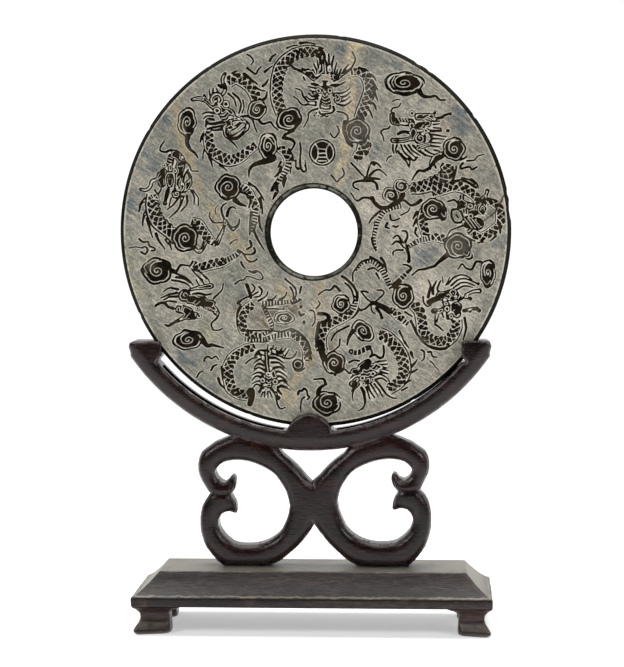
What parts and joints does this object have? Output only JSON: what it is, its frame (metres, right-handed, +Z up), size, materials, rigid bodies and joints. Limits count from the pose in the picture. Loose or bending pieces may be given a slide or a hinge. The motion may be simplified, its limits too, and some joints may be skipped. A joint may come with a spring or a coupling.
{
  "type": "stone bi disc",
  "caption": "Carved stone bi disc with dragons and clouds round a central hole, held upright in the cradle of a scrolled wooden stand on bracket feet.",
  "frame": {"origin": "on the floor, midway between the feet, under the disc's axis", "axes": "+Z up, -Y the carved front of the disc, +X to the right of someone who faces the front"},
  "size_m": [0.3, 0.091, 0.455],
  "materials": {
    "stone": "satin",
    "stand_wood": "waxed",
    "slab_wood": "waxed",
    "foot_wood": "waxed"
  },
  "bodies": {
    "root": {"bi_disc": "stone", "scroll_cradle": "stand_wood", "base_slab": "slab_wood", "foot_front_left": "foot_wood", "foot_front_right": "foot_wood", "foot_back_left": "foot_wood", "foot_back_right": "foot_wood"}
  },
  "joints": []
}
